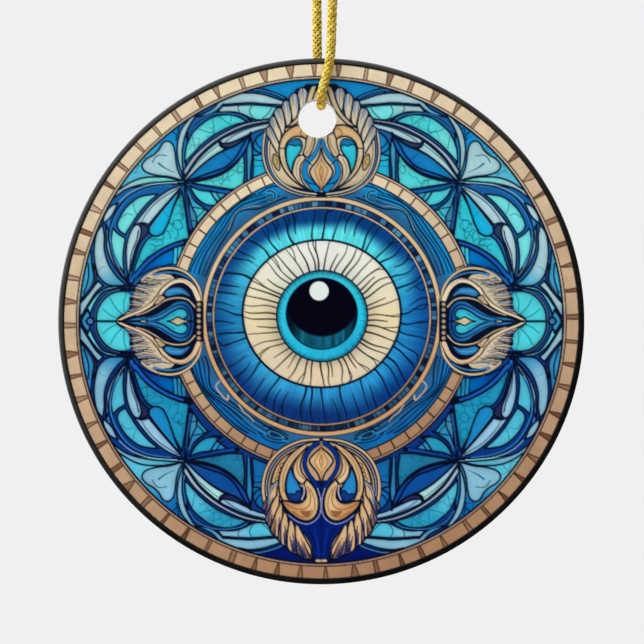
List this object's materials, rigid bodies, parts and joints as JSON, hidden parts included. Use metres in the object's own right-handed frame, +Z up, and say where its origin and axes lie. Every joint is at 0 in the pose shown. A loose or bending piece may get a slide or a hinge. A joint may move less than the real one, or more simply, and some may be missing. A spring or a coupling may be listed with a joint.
{
  "type": "evil eye ornament",
  "caption": "Round glazed ceramic hanging ornament with a printed evil eye mandala and a knotted gold cord loop through one hole near its edge.",
  "frame": {"origin": "crotch of the cord loop just under its knot, where a hook carries the ornament", "axes": "+Z up, the front face of the disc looks along -Y, +X to the right of a viewer in front"},
  "size_m": [0.073, 0.0066, 0.1408],
  "materials": {
    "porcelain": "glossy white glaze",
    "printed_glaze": "glossy printed glaze in blues, cream and black",
    "rim_glaze": "glossy near-black glaze",
    "gold_cord": "braided metallic gold yarn"
  },
  "bodies": {
    "hanger": {"cord_knot": "gold_cord", "cord_left_tail": "gold_cord", "cord_right_tail": "gold_cord", "cord_left_bow": "gold_cord", "cord_right_bow": "gold_cord"},
    "loop": {"cord_front_strand": "gold_cord", "cord_bight": "gold_cord", "cord_rear_strand": "gold_cord"},
    "disc": {"ceramic_disc": "porcelain", "front_print": "printed_glaze", "back_print": "printed_glaze", "rim_glaze": "rim_glaze"}
  },
  "joints": [
    {"name": "loop_twist", "type": "hinge", "parent": "hanger", "child": "loop", "pos_m": [0, 0, -0.006], "axis": [0, 0, 1], "range_deg": [-180, 180]},
    {"name": "disc_swing", "type": "hinge", "parent": "loop", "child": "disc", "pos_m": [0, 0, -0.06], "axis": [0, 1, 0], "range_deg": [-60, 60]}
  ]
}
